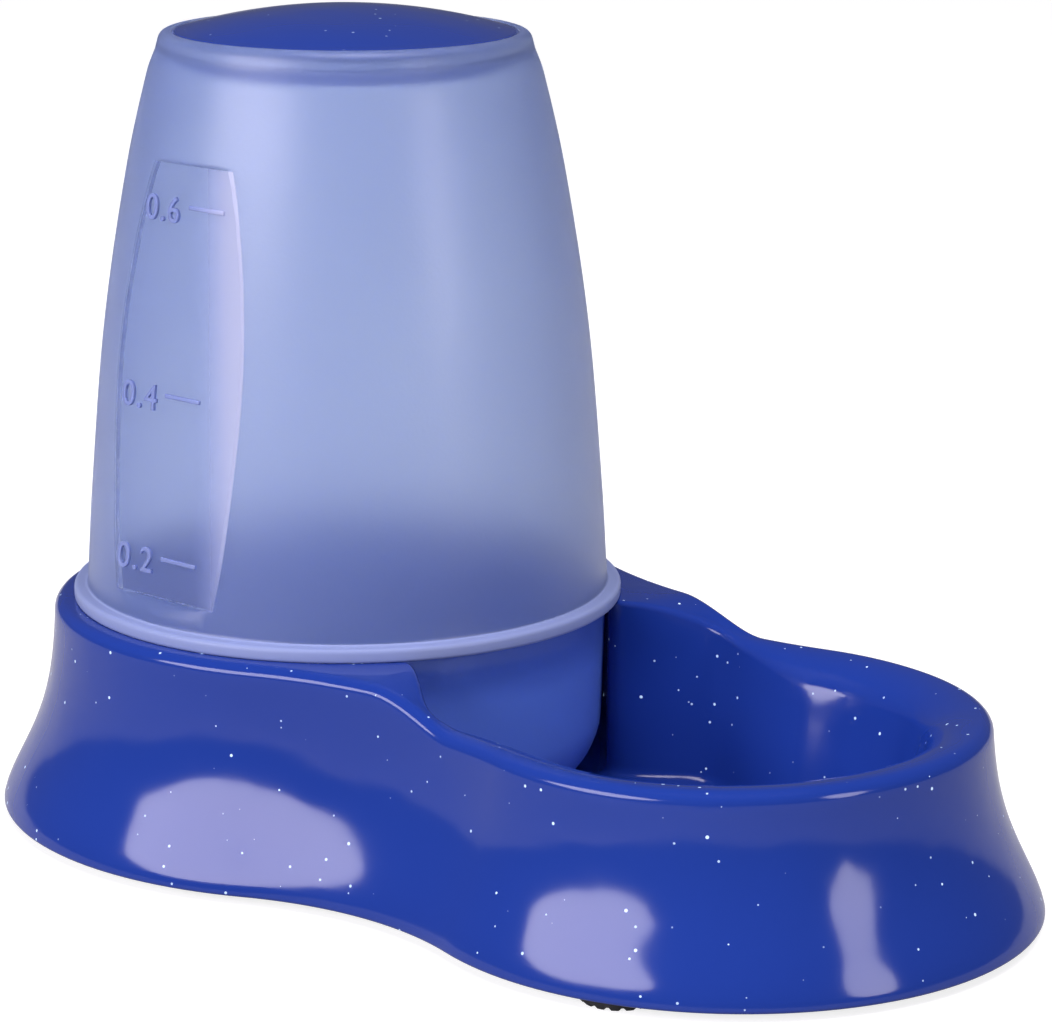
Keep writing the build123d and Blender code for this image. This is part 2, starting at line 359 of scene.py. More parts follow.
# %% [markdown]
# Inside the rim the wall's section changes on its way round. At the socket it is a small rounding and a
# straight drop, at the neck a softer one, and at the bowl the rim rolls over in a wide curve into a dish.
# So the section is one recipe with four numbers: how far the rounding reaches in and down, how much the
# wall leans and how round the turn to the floor is. The numbers are blended by the place along the base.

# %% The section inside the rim, at one place of the ring
FLOOR_HEIGHT = 3.6
# Reach, drop, lean and floor rounding of each part, and where along the base one changes into the next.
SECTIONS = {
    "socket": (0.9, 0.9, math.radians(0.2), 4.0),
    "neck": (1.8, 1.8, math.radians(7), 5.0),
    "bowl": (9.3, 7.0, math.radians(16), 9.0),
}
TO_NECK, TO_BOWL = (42, 58), (60, 86)
ROUND_STEPS, WALL_STEPS, FLOOR_STEPS = 9, 6, 6


def section_numbers(x):
    """Reach, drop, lean and floor rounding at a distance from the tank's axis."""
    to_neck = ease(*TO_NECK, x)
    to_bowl = ease(*TO_BOWL, x)
    rows = zip(SECTIONS["socket"], SECTIONS["neck"], SECTIONS["bowl"])
    return [a + (b - a) * to_neck + (c - b) * to_bowl for a, b, c in rows]


def inside_section(x, top):
    """Points (distance in from the rim's inner line, height) from the rim down to the floor."""
    reach, drop, lean, floor_round = section_numbers(x)
    last = math.atan2(reach, drop * math.tan(lean))
    turns = [last * step / ROUND_STEPS for step in range(ROUND_STEPS + 1)]
    points = [(reach * math.sin(turn), top - drop * (1 - math.cos(turn))) for turn in turns]
    start_in, start_height = points[-1]
    end_height = FLOOR_HEIGHT + floor_round * (1 - math.sin(lean))
    fall = start_height - end_height
    end_in = start_in + fall * math.tan(lean)
    for step in range(1, WALL_STEPS):
        share = step / WALL_STEPS
        points.append((start_in + (end_in - start_in) * share, start_height - fall * share))
    centre_in = end_in + floor_round * math.cos(lean)
    for step in range(FLOOR_STEPS + 1):
        turn = lean + (math.pi / 2 - lean) * step / FLOOR_STEPS
        down = floor_round * (1 - math.sin(turn))
        points.append((centre_in - floor_round * math.cos(turn), FLOOR_HEIGHT + down))
    return points


sections = [inside_section(point.x, top) for point, top in zip(brim, brim_height)]
print("the section inside the rim has", len(sections[0]), "points")

# %% [markdown]
# Now the rings. Blender's extrude operator copies the ring's edges and joins them to the new ones. Each
# corner of the first circle carries its own number in a custom data layer, and extruding copies that
# number, so a new corner always knows which point of the formula it belongs to.

# %% Helpers that extrude a ring from formula to formula
def first_ring(bm, points):
    """A closed ring of edges through points; each vertex remembers its number."""
    number = bm.verts.layers.int.new("number")
    made = bmesh.ops.create_circle(bm, segments=len(points), radius=1)["verts"]
    for index, vert in enumerate(made):
        vert[number] = index
        vert.co = points[index]
    return bm.edges[:]


def next_ring(bm, edges, points):
    """Extrudes a ring and puts its new vertices at the next points."""
    number = bm.verts.layers.int["number"]
    made = bmesh.ops.extrude_edge_only(bm, edges=edges)["geom"]
    verts = [item for item in made if isinstance(item, bmesh.types.BMVert)]
    for vert in verts:
        vert.co = points[vert[number]]
    fresh = set(verts)
    return [e for e in made if isinstance(e, bmesh.types.BMEdge) and fresh.issuperset(e.verts)]


print("rings start as", len(STATIONS), "numbered corners")


# %% Helpers that bring a finished mesh into the scene
def in_metres(bm, zero_height):
    """Scales a mesh drawn in millimetres about the tank's axis and puts it in the part's frame."""
    bmesh.ops.scale(bm, vec=(MM, MM, MM), verts=bm.verts)
    bmesh.ops.translate(bm, vec=(axis_x, 0, zero_height), verts=bm.verts)


def smooth_object(bm, name):
    """A finished bmesh as a smooth-shaded object at the origin."""
    mesh = bpy.data.meshes.new(name)
    bm.to_mesh(mesh)
    bm.free()
    mesh.shade_smooth()
    item = bpy.data.objects.new(name, mesh)
    bpy.context.scene.collection.objects.link(item)
    print(f"{name}: {len(mesh.polygons)} faces")
    return item


print("1 mm is", MM, "m")


# %% The base's rings: up the wall, over the rim, down to the floor
EDGE_ROUND, EDGE_STEPS = 0.7, 4
WALL_ROWS = 22
OUTER_STEPS = 6
SHELL_WALL = 2.0


def outer_rows():
    """Rows of the outside: a rounded lower edge, the flared wall and the rim's outer rounding."""
    rows = []
    for step in range(EDGE_STEPS):
        turn = math.pi / 2 * step / EDGE_STEPS
        rows.append([(EDGE_ROUND * (1 - math.sin(turn)), EDGE_ROUND * (1 - math.cos(turn)))] * len(STATIONS))
    for step in range(WALL_ROWS + 1):
        share = step / WALL_ROWS
        rows.append([(0.0, EDGE_ROUND + (top - RIM_ROUND - EDGE_ROUND) * share) for top in brim_height])
    for step in range(1, OUTER_STEPS + 1):
        turn = math.pi / 2 * step / OUTER_STEPS
        reach = RIM_ROUND * (1 - math.cos(turn))
        rows.append([(reach, top - RIM_ROUND * (1 - math.sin(turn))) for top in brim_height])
    return [[flat_point(s, inset, height) for s, (inset, height) in zip(STATIONS, row)] for row in rows]


def flat_point(station, inset, height):
    """A point of the outside in three dimensions."""
    point = outline_point(station, height, inset)
    return Vector((point.x, point.y, height))


def inner_rows():
    """Rows of the inside: from the rim's inner line down the section at each place."""
    rows = []
    for step in range(len(sections[0])):
        row = []
        for point, direction, section in zip(brim, inwards, sections):
            inset, height = section[step]
            spot = point + direction * inset
            row.append(Vector((spot.x, spot.y, height)))
        rows.append(row)
    return rows


def make_base():
    """The whole shell: one skin of rings, then a wall of even thickness."""
    bm = bmesh.new()
    rows = outer_rows() + inner_rows()
    ring = first_ring(bm, rows[0])
    for row in rows[1:]:
        ring = next_ring(bm, ring, row)
    bmesh.ops.contextual_create(bm, geom=ring)
    bmesh.ops.recalc_face_normals(bm, faces=bm.faces)
    in_metres(bm, lower_edge)
    return smooth_object(bm, "base_shell")


base = make_base()
shell = base.modifiers.new("moulded wall", "SOLIDIFY")
shell.thickness = SHELL_WALL * MM
shell.offset = -1
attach(base, "base")
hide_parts("base")

# %% [markdown]
# ## Foot seats under the base
# From below the base is an open shell. Four short round walls stand under it and hold the rubber feet.
# Each is turned from a small section like a pot on a wheel: the spin operator sweeps an edge loop round an
# upright axis. Where a seat would poke through the flared outer wall, its vertices are drawn back to the
# wall's inner face, as the real seat is merged with the wall there.

# %% Turning a section on an upright axis
MERGE = 0.0005


def smooth_through(points, steps):
    """A smooth line through a few (radius, height) points: a Bezier span between each pair."""
    spots = [Vector((x, 0.0, z)) for x, z in points]
    slopes = [(b - a) / 2 for a, b in zip(spots, spots[2:])]
    slopes = [spots[1] - spots[0]] + slopes + [spots[-1] - spots[-2]]
    line = []
    for (a, b), (slope_a, slope_b) in zip(pairwise(spots), pairwise(slopes)):
        reach = (b - a).length
        handle_a = a + slope_a.normalized() * reach / 3
        handle_b = b - slope_b.normalized() * reach / 3
        span = interpolate_bezier(a, handle_a, handle_b, b, steps + 1)
        line += [(p.x, p.z) for p in span[:-1]]
    return line + [points[-1]]


def corner(before, tip, after, size, steps=4):
    """A rounded corner at tip between two straight runs, which starts size away from it."""
    tip, before, after = Vector(tip), Vector(before), Vector(after)
    start = tip + (before - tip).normalized() * size
    end = tip + (after - tip).normalized() * size
    points = []
    for step in range(steps + 1):
        t = step / steps
        point = start * (1 - t) ** 2 + tip * 2 * t * (1 - t) + end * t**2
        points.append(tuple(point))
    return points


def turned(section, steps):
    """A bmesh of revolution from a closed (radius, height) line in millimetres, its normals outwards."""
    bm = bmesh.new()
    verts = [bm.verts.new((radius, 0, height)) for radius, height in section]
    edges = [bm.edges.new(pair) for pair in pairwise(verts + verts[:1])]
    bmesh.ops.spin(bm, geom=verts + edges, cent=(0, 0, 0), axis=(0, 0, 1), angle=math.tau,
                   steps=steps, use_merge=True, use_duplicate=False)
    bmesh.ops.remove_doubles(bm, verts=bm.verts, dist=MERGE)
    bmesh.ops.recalc_face_normals(bm, faces=bm.faces)
    return bm


print("a rounded corner has", len(corner((0, 1), (0, 0), (1, 0), 0.5)), "points")


# %% Four seats for the feet
FOOT_R, FOOT_DEPTH, SEAT_R = 7.0, 1.8, 8.4
SEAT_GAP, SEAT_ROUND, SEAT_TOP_ROW, SEAT_STEPS = 0.1, 0.3, 0.5, 48
BOWL_SEAT_HEIGHT, TANK_SEAT_HEIGHT = 5.0, 3.1
WALL_RECEDES = 0.35
BOWL_FOOT_R, BOWL_FOOT_ANGLE = 49.2, math.radians(71.5)
TANK_FOOT_R, TANK_FOOT_ANGLE = 43.0, math.radians(128)


def foot_places():
    """Each foot's node, its middle in millimetres from the tank's axis and its seat's height."""
    for side, hand in ((1, "left"), (-1, "right")):
        by_bowl = Matrix.Rotation(side * BOWL_FOOT_ANGLE, 3, "Z") @ Vector((BOWL_FOOT_R, 0, 0))
        by_tank = Matrix.Rotation(side * TANK_FOOT_ANGLE, 3, "Z") @ Vector((TANK_FOOT_R, 0, 0))
        yield f"bowl_{hand}_foot", by_bowl + Vector((EDGE_SPACING, 0, 0)), BOWL_SEAT_HEIGHT
        yield f"tank_{hand}_foot", by_tank, TANK_SEAT_HEIGHT


def make_seat(node, middle, height):
    """A round wall with a pocket for the foot; its outside stays within the base's wall."""
    pocket_r = FOOT_R + SEAT_GAP
    section = corner((0, FOOT_DEPTH), (pocket_r, FOOT_DEPTH), (pocket_r, 0), SEAT_ROUND)
    section += corner((pocket_r, height), (pocket_r, 0), (SEAT_R, 0), SEAT_ROUND)
    section += corner((pocket_r, 0), (SEAT_R, 0), (SEAT_R, height), SEAT_ROUND)
    section += [(SEAT_R, height - SEAT_TOP_ROW), (SEAT_R, height), (0, height)]
    bm = turned([(0, FOOT_DEPTH)] + section, SEAT_STEPS)
    bmesh.ops.translate(bm, vec=middle, verts=bm.verts)
    bowl = Vector((EDGE_SPACING, 0, 0))
    for vert in bm.verts:
        out = (vert.co - bowl) * Vector((1, 1, 0))
        reach = EDGE_BOWL_R - EDGE_ROUND - WALL_RECEDES * vert.co.z
        if node.startswith("bowl") and out.length > reach:
            inside = bowl + out.normalized() * reach
            vert.co.x, vert.co.y = inside.x, inside.y
    in_metres(bm, lower_edge)
    seat = smooth_object(bm, node.replace("foot", "seat"))
    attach(seat, "base")
    return seat


seats = [make_seat(*place) for place in foot_places()]

# %% [markdown]
# ## Tank: frosted, thin-walled, open below
# The tank is a thin shell: an open skirt that hangs in the socket, a flange that rests on the rim, a side
# that tapers towards the lid and a small ledge inside its mouth. All of it is round, so one closed section
# is turned once. Light passes through both walls of a see-through piece, so the section has the real wall,
# with an inner and an outer line, not a single skin.

# %% The tank's section, in millimetres above the underside of its flange
TANK_WALL = 1.5
FLANGE_R, FLANGE_THICK = 52.5, 2.6
SKIRT_TOP_R, SKIRT_R, SKIRT_STRAIGHT, SKIRT_ROUND, SKIRT_DEPTH = 49.6, 49.0, 22.6, 15.5, 32.1
TANK_SIDE = ((49.9, 2.6), (48.7, 21.4), (45.8, 52.9), (41.1, 82.3), (37.0, 100.1), (35.4, 104.4))
TANK_TOP, TANK_RIM_R, TANK_RIM_OUT_R, LID_SEAT = 107.8, 33.4, 34.5, 105.8
MOUTH_R, LEDGE_THICK, LID_POCKET_R = 30.8, 2.0, 32.3
FLANGE_LOW_ROUND, FLANGE_HIGH_ROUND, ROOT_ROUND = 0.6, 0.9, 0.7
TANK_RIM_ROUND, MOUTH_ROUND, LEDGE_ROUND = 1.6, 0.4, 0.5
LEDGE_TOP_BEVEL, LEDGE_LOW_BEVEL = 0.2, 0.3
# The ledge's fillet takes LEDGE_ROOM of height, and there the wall is LEDGE_ROOT wider than at its top.
LEDGE_ROOM, LEDGE_ROOT = 0.6, 0.15
SKIRT_STEPS, SIDE_STEPS, RIM_STEPS, ROOT_POINTS, TANK_STEPS = 12, 12, 6, 3, 192


def skirt_line(inset):
    """The skirt's side from the flange down to its lip, which curls in on a wide arc."""
    radius = SKIRT_ROUND - inset
    centre = SKIRT_R - SKIRT_ROUND
    last = math.asin((SKIRT_DEPTH - SKIRT_STRAIGHT) / radius)
    middle_r = (SKIRT_TOP_R + SKIRT_R) / 2
    points = [(SKIRT_TOP_R - inset, 0.0), (middle_r - inset, -SKIRT_STRAIGHT / 2)]
    for step in range(SKIRT_STEPS + 1):
        turn = last * step / SKIRT_STEPS
        points.append((centre + radius * math.cos(turn), -SKIRT_STRAIGHT - radius * math.sin(turn)))
    return points


def tank_section():
    """One closed line: up the outside from the lip, over the rim and down the inside."""
    outside = smooth_through(TANK_SIDE, SIDE_STEPS)
    inside = smooth_through([(radius - TANK_WALL, height) for radius, height in TANK_SIDE], SIDE_STEPS)
    flange_low = corner((SKIRT_TOP_R, 0), (FLANGE_R, 0), (FLANGE_R, FLANGE_THICK), FLANGE_LOW_ROUND)
    flange_high = corner((FLANGE_R, 0), (FLANGE_R, FLANGE_THICK), TANK_SIDE[0], FLANGE_HIGH_ROUND)
    root = corner((FLANGE_R, FLANGE_THICK), TANK_SIDE[0], TANK_SIDE[1], ROOT_ROUND)
    rim_tip, rim_in = (TANK_RIM_OUT_R, TANK_TOP), (TANK_RIM_R, TANK_TOP)
    rim = corner(TANK_SIDE[-1], rim_tip, rim_in, TANK_RIM_ROUND, RIM_STEPS)
    mouth = corner(rim_in, (LID_POCKET_R, TANK_TOP), (LID_POCKET_R, 0), MOUTH_ROUND)
    under_ledge = LID_SEAT - LEDGE_THICK
    ledge = [(LID_POCKET_R, LID_SEAT)]
    ledge += [(MOUTH_R + LEDGE_TOP_BEVEL, LID_SEAT), (MOUTH_R, LID_SEAT - LEDGE_TOP_BEVEL)]
    ledge += [(MOUTH_R, under_ledge + LEDGE_LOW_BEVEL), (MOUTH_R + LEDGE_LOW_BEVEL, under_ledge)]
    down = [point for point in reversed(inside) if point[1] < under_ledge - LEDGE_ROOM]
    root_r = inside[-1][0] + LEDGE_ROOT
    fillet = corner((MOUTH_R, under_ledge), (root_r, under_ledge), down[0], LEDGE_ROUND)
    up = skirt_line(0)[::-1] + flange_low + flange_high + root + outside[ROOT_POINTS:] + rim + mouth
    return up + ledge + fillet + down + skirt_line(TANK_WALL)


tank_line = tank_section()
print(f"the tank's section has {len(tank_line)} points, {tank_line[0][1]:.1f} to {TANK_TOP} mm high")

# %% [markdown]
# One side of the tank is pressed flat for the gauge. Bisect cuts the mesh along the panel's plane and along
# its top and bottom, which gives clean edges there. Then every vertex in front of the plane is pushed back
# onto it. The inner wall gets the same press, one wall further in, so the panel keeps its thickness. The
# outlines of both planes are marked sharp, so that each plane catches the light as one.

# %% Where the gauge panel lies: its lower and upper edge as (distance from the axis, height)
PANEL_LOW, PANEL_HIGH = (48.15, 7.2), (39.2, 86.4)
PANEL_STEP = 0.6
NEAR_PANEL_Y = -20
CUT_SNAP, TOUCH = 0.03, 0.01
ON_PLANE = 1.5 * CUT_SNAP
PANEL_CREASE = math.radians(5)
PANEL_LEAN = (PANEL_LOW[0] - PANEL_HIGH[0]) / (PANEL_HIGH[1] - PANEL_LOW[1])


def panel_y(height, inset=0.0):
    """Where the panel's face lies at a height, on the tank's right side, which is towards -Y."""
    return inset * math.hypot(1, PANEL_LEAN) - PANEL_LOW[0] + PANEL_LEAN * (height - PANEL_LOW[1])


def front_of(bm):
    """The mesh's parts near the panel, for a cut that leaves the rest alone."""
    faces = [f for f in bm.faces if f.calc_center_median().y < NEAR_PANEL_Y]
    edges = {e for f in faces for e in f.edges}
    verts = {v for f in faces for v in f.verts}
    return faces + list(edges) + list(verts)


def outside_radius(height):
    """The tank's outer radius at a height, read from its section."""
    line = smooth_through(TANK_SIDE, SIDE_STEPS)
    below, above = next(pair for pair in pairwise(line) if pair[1][1] >= height)
    share = (height - below[1]) / (above[1] - below[1])
    return below[0] + (above[0] - below[0]) * share


print(f"the panel leans back by {math.degrees(math.atan(PANEL_LEAN)):.1f} degrees")


# %% Pressing the gauge panel flat
def press_panel(bm):
    """Cuts round the panel and pushes both walls back onto its two planes."""
    for inset in (0.0, TANK_WALL):
        normal = Vector((0, -1, PANEL_LEAN)).normalized()
        spot = Vector((0, panel_y(PANEL_LOW[1], inset), PANEL_LOW[1]))
        bmesh.ops.bisect_plane(bm, geom=front_of(bm), dist=CUT_SNAP, plane_co=spot, plane_no=normal)
    for height in (PANEL_LOW[1] - PANEL_STEP, PANEL_LOW[1], PANEL_HIGH[1], PANEL_HIGH[1] + PANEL_STEP):
        bmesh.ops.bisect_plane(
            bm, geom=front_of(bm), dist=CUT_SNAP, plane_co=(0, 0, height), plane_no=(0, 0, 1))
    for vert in bm.verts:
        if PANEL_LOW[1] - TOUCH < vert.co.z < PANEL_HIGH[1] + TOUCH:
            radius = math.hypot(vert.co.x, vert.co.y)
            on_inner_wall = radius < outside_radius(vert.co.z) - TANK_WALL / 2
            vert.co.y = max(vert.co.y, panel_y(vert.co.z, TANK_WALL if on_inner_wall else 0.0))
    bmesh.ops.remove_doubles(bm, verts=bm.verts, dist=CUT_SNAP)


def on_panel(vert, inset):
    """Whether a vertex lies on one of the two pressed planes."""
    return abs(vert.co.y - panel_y(vert.co.z, inset)) < ON_PLANE


def crisp_panel_edges(bm):
    """Marks the outline of both pressed planes sharp, so that each catches light as one plane."""
    bm.normal_update()
    count = 0
    for edge in bm.edges:
        if not edge.is_manifold or edge.calc_face_angle() < PANEL_CREASE:
            continue
        if any(all(on_panel(vert, inset) for vert in edge.verts) for inset in (0.0, TANK_WALL)):
            edge.smooth = False
            count += 1
    print(count, "edges of the panel are sharp")


def make_tank():
    """The turned shell with its pressed panel."""
    bm = turned(tank_line, TANK_STEPS)
    press_panel(bm)
    crisp_panel_edges(bm)
    in_metres(bm, flange_rest)
    return smooth_object(bm, "tank_shell")


tank = make_tank()
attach(tank, "tank")
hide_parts("tank")

# %% [markdown]
# ## Level marks
# The panel carries a numeral and a dash for each level, raised by a few tenths of a millimetre in the same
# plastic. A dash is a small bevelled bar, made from a cube. A numeral starts as text with a little depth. It
# becomes a mesh before it is placed, so the finished object keeps its origin, and it is then stretched to the
# width that it has on the panel.

# %% Raised dashes
# Each level: its height, where its dash starts, and its numeral's left and right, all seen from the front.
LEVELS = {
    "0.2": (14.6, -1.2, -12.7, -3.4),
    "0.4": (44.4, -3.0, -14.2, -5.1),
    "0.6": (78.9, 0.0, -11.1, -2.4),
}
DASH_LENGTH, DASH_THICK, DASH_BEVEL = 9.2, 0.8, 0.18
MARK_RELIEF = 0.35
PANEL_TILT = math.atan(PANEL_LEAN)


def onto_panel(bm, x, height):
    """Stands a mesh, drawn flat in XY, up on the panel with its middle at x and height."""
    face_turn = Matrix.Rotation(math.pi / 2 - PANEL_TILT, 4, "X")
    place = Matrix.Translation((x, panel_y(height), height))
    bmesh.ops.transform(bm, matrix=place @ face_turn, verts=bm.verts)


def place_mark(name, bm):
    """Puts a finished mark on the tank, as a piece of its own."""
    in_metres(bm, flange_rest)
    mark = smooth_object(bm, name)
    mark.data.shade_flat()
    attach(mark, "tank")
    return mark


def make_dash(text, height, start):
    """A bar with bevelled edges, half sunk into the panel."""
    bm = bmesh.new()
    bmesh.ops.create_cube(bm, size=1)
    bmesh.ops.scale(bm, vec=(DASH_LENGTH, DASH_THICK, 2 * MARK_RELIEF), verts=bm.verts)
    bmesh.ops.bevel(
        bm, geom=bm.edges[:], offset=DASH_BEVEL, segments=2, profile=0.5, affect="EDGES", material=-1)
    onto_panel(bm, start + DASH_LENGTH / 2, height)
    return place_mark("dash_" + text.replace(".", "_"), bm)


print(len(LEVELS), "levels, the highest", max(row[0] for row in LEVELS.values()), "mm above the flange")


# %% Raised numerals
NUMERAL_HEIGHT, NUMERAL_DROP = 4.8, 0.8
LETTER_SIZE, LETTER_SPACING, LETTER_BEVEL, LETTER_MERGE = 6.6, 1.15, 0.06, 0.001


def make_numeral(text, left, right, height):
    """The numeral's letters as a mesh that spans from left to right on the panel."""
    curve = bpy.data.curves.new("numeral", "FONT")
    curve.body = text
    curve.align_x = "CENTER"
    curve.align_y = "CENTER"
    curve.extrude = MARK_RELIEF
    curve.bevel_depth = LETTER_BEVEL
    curve.size = LETTER_SIZE
    curve.space_character = LETTER_SPACING
    letters = bpy.data.objects.new("numeral", curve)
    bpy.context.scene.collection.objects.link(letters)
    bpy.context.view_layer.update()
    mesh = bpy.data.meshes.new_from_object(letters)
    bpy.data.objects.remove(letters)
    bm = bmesh.new()
    bm.from_mesh(mesh)
    bpy.data.meshes.remove(mesh)
    bmesh.ops.remove_doubles(bm, verts=bm.verts, dist=LETTER_MERGE)
    xs = [v.co.x for v in bm.verts]
    ys = [v.co.y for v in bm.verts]
    middle = Vector(((min(xs) + max(xs)) / 2, (min(ys) + max(ys)) / 2, 0))
    bmesh.ops.translate(bm, vec=-middle, verts=bm.verts)
    fit = ((right - left) / (max(xs) - min(xs)), NUMERAL_HEIGHT / (max(ys) - min(ys)), 1)
    bmesh.ops.scale(bm, vec=fit, verts=bm.verts)
    onto_panel(bm, (left + right) / 2, height - NUMERAL_DROP)
    return place_mark("numeral_" + text.replace(".", "_"), bm)


marks = []
for text, (height, dash_start, left, right) in LEVELS.items():
    marks.append(make_dash(text, height, dash_start))
    marks.append(make_numeral(text, left, right, height))

# %% [markdown]
# ## Lid and seal
# The lid is a shallow dome with a plug below it, and a soft ring sits in a groove round the plug. The lid's
# section is closed too, with a hollow plug, because it shows when the lid is lifted off.

# %% The sections of the lid and its seal
LID_R, LID_EDGE_ROUND, LID_CROWN, LID_SKIN = 32.0, 0.5, 4.4, 1.8
LID_LOW_ROUND, PLUG_ROUND = 0.3, 0.6
PLUG_R, PLUG_BORE_R, PLUG_DEPTH, GROOVE_R = 30.1, 27.4, 5.0, 29.0
SEAL_R, SEAL_FLAT_R, SEAL_TOP, SEAL_HEIGHT = 30.5, 29.7, 105.4, 1.8
DOME_STEPS, CEILING_STEPS, BULGE_STEPS = 16, 8, 8


def dome(radius, crown, drop, steps):
    """Points of a shallow arc from the axis at crown out to radius, where it lies drop lower."""
    sphere = (radius**2 + drop**2) / (2 * drop)
    angle = math.asin(radius / sphere)
    turns = [angle * step / steps for step in range(steps + 1)]
    return [(sphere * math.sin(t), crown - sphere * (1 - math.cos(t))) for t in turns]


def lid_section():
    """From the crown out to the edge, down the plug with its groove and up the hollow inside."""
    crown = TANK_TOP + LID_CROWN
    outside = dome(LID_R - LID_EDGE_ROUND, crown, LID_CROWN, DOME_STEPS)
    ceiling = dome(PLUG_BORE_R, crown - LID_SKIN, LID_CROWN * (PLUG_BORE_R / LID_R) ** 2, CEILING_STEPS)
    edge = corner(outside[-1], (LID_R, TANK_TOP), (LID_R, LID_SEAT), LID_EDGE_ROUND)
    low_edge = corner((LID_R, TANK_TOP), (LID_R, LID_SEAT), (PLUG_R, LID_SEAT), LID_LOW_ROUND)
    bottom = LID_SEAT - PLUG_DEPTH
    groove = [(PLUG_R, LID_SEAT), (PLUG_R, SEAL_TOP), (GROOVE_R, SEAL_TOP)]
    groove += [(GROOVE_R, SEAL_TOP - SEAL_HEIGHT), (PLUG_R, SEAL_TOP - SEAL_HEIGHT)]
    plug_end = corner((PLUG_R, LID_SEAT), (PLUG_R, bottom), (PLUG_BORE_R, bottom), PLUG_ROUND)
    plug_end += corner((PLUG_R, bottom), (PLUG_BORE_R, bottom), (PLUG_BORE_R, LID_SEAT), PLUG_ROUND)
    return outside[:-1] + edge + low_edge + groove + plug_end + ceiling[::-1]


def seal_section():
    """A ring that is flat in its groove and bulges towards the mouth."""
    bottom = SEAL_TOP - SEAL_HEIGHT
    turns = [math.pi * step / BULGE_STEPS for step in range(1, BULGE_STEPS)]
    reach = SEAL_R - SEAL_FLAT_R
    middle = (SEAL_TOP + bottom) / 2
    bulge = [(SEAL_FLAT_R + reach * math.sin(t), middle - SEAL_HEIGHT / 2 * math.cos(t)) for t in turns]
    ends = [(SEAL_FLAT_R, SEAL_TOP), (GROOVE_R, SEAL_TOP)]
    return [(GROOVE_R, bottom), (SEAL_FLAT_R, bottom)] + bulge + ends


print(f"lid: {LID_R:.1f} mm radius, crown {LID_CROWN} mm over the tank's rim")


# %% The lid and its seal, turned
LID_STEPS = 128
CRISP_ANGLE = math.radians(50)


def turned_piece(name, bm, node, body, height):
    """Places a turned bmesh, shades it smooth with crisp corners and lets it stand for its node."""
    in_metres(bm, height)
    for edge in bm.edges:
        if edge.is_manifold and edge.calc_face_angle() > CRISP_ANGLE:
            edge.smooth = False
    piece = smooth_object(bm, name)
    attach(piece, body)
    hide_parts(node)
    return piece


lid_mesh, seal_mesh = turned(lid_section(), LID_STEPS), turned(seal_section(), LID_STEPS)
lid = turned_piece("lid_dome", lid_mesh, "lid", "lid", flange_rest)
seal = turned_piece("seal_ring", seal_mesh, "lid_seal", "lid", flange_rest)

# %% [markdown]
# ## Rubber feet
# Each foot is a short black rubber pad, pressed into its seat. Its sole has fine radial grooves for grip,
# which show as small notches along its lower edge. The pad is turned with many spokes, and then two of every
# six spokes on the sole are lifted a little, which makes the grooves.

# %% Four grooved pads
FOOT_EDGE, FOOT_TOP_ROUND = 0.5, 0.4
SOLE_RINGS, GROOVE_START = (0, 2.2, 2.6, 4.4), 2.4
FOOT_SPOKES, SPOKES_PER_GROOVE = 96, 6
GROOVE_DEPTH = 0.45


def make_foot(node, middle):
    """A rubber pad that fills its pocket and stands on the floor."""
    sole = -lower_edge / MM
    top = FOOT_DEPTH - SEAT_GAP / 2
    line = [(radius, sole) for radius in SOLE_RINGS]
    line += [(FOOT_R - FOOT_EDGE, sole), (FOOT_R, sole + FOOT_EDGE)]
    line += corner((FOOT_R, 0), (FOOT_R, top), (0, top), FOOT_TOP_ROUND) + [(0, top)]
    bm = turned(line, FOOT_SPOKES)
    for vert in bm.verts:
        spoke = round(math.atan2(vert.co.y, vert.co.x) / math.tau * FOOT_SPOKES) % SPOKES_PER_GROOVE
        grooved = spoke in (0, 1) and math.hypot(vert.co.x, vert.co.y) > GROOVE_START
        if grooved and vert.co.z < sole + FOOT_EDGE + TOUCH:
            vert.co.z += GROOVE_DEPTH if vert.co.z < sole + TOUCH else GROOVE_DEPTH / 2
    bmesh.ops.translate(bm, vec=(middle.x, middle.y, 0), verts=bm.verts)
    return turned_piece(node + "_pad", bm, node, "base", lower_edge)


feet = [make_foot(node, middle) for node, middle, _ in foot_places()]


# %% [markdown]
# ## Glossy blue plastic with glitter
# Base and lid are moulded from the same saturated blue, polished to a high gloss, with tiny flakes of
# glitter in it. The flakes are a Voronoi pattern in three dimensions: each cell has one point, and where
# the surface passes within a third of a millimetre of that point, a flake shows. The cell's own random
# colour makes some flakes bright and some faint, and each flake also glows a little, which is a painted
# glint. Under them a slow noise shifts the blue a little, and two others bend the surface by tenths of a
# millimetre over a few centimetres, as on any moulding.

# %% The blue plastic of base and lid
FLAKE_SPACING, FLAKE_R = 0.0032, 0.00032
SMALLEST_FLAKE, FAINTEST_FLAKE = 0.35, 0.15
# The flakes' second colour is their glow, a painted glint: they give off light though they are no lamps.
FLAKE_COLOUR, FLAKE_PAINTED_GLINT = (0.62, 0.80, 1.0, 1), (0.30, 0.42, 0.55, 1)
BLACK = (0, 0, 0, 1)
GLOSS, GLOSS_CHANGE = 0.09, 0.05
# In metres: how wide the patches of other blue and other gloss are, and the moulding's two ripples.
BLUE_PATCH, GLOSS_PATCH = 0.055, 0.016
RIPPLE, SMALL_RIPPLE, RIPPLE_DEPTH = 0.024, 0.009, 0.0006
SMALL_RIPPLE_SHARE = 0.12


